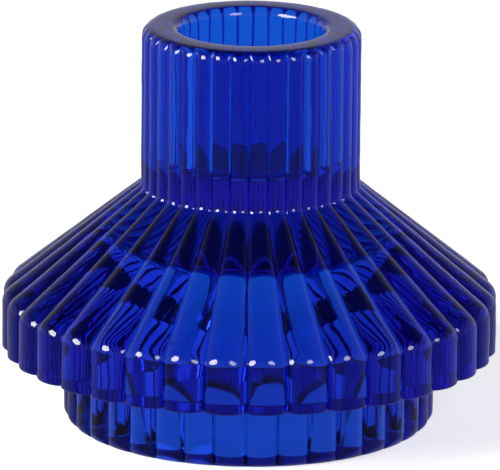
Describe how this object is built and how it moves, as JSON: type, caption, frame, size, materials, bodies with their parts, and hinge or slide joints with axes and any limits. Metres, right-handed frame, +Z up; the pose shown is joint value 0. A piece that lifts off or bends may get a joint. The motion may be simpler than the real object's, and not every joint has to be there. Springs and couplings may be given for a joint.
{
  "type": "glass candlestick",
  "caption": "Low ribbed glass candle holder: a straight neck with a taper socket on a flared skirt and ring foot, with a tealight recess underneath.",
  "frame": {"origin": "centre of the ring foot, on the surface the candlestick stands on", "axes": "+Z up along the axis, out of the candle socket; a valley between two ribs faces -Y, the front"},
  "size_m": [0.0798, 0.0798, 0.0652],
  "materials": {
    "cobalt_glass": "fire-polished, clear, cobalt blue all through"
  },
  "bodies": {
    "root": {"glass_body": "cobalt_glass"}
  },
  "joints": []
}
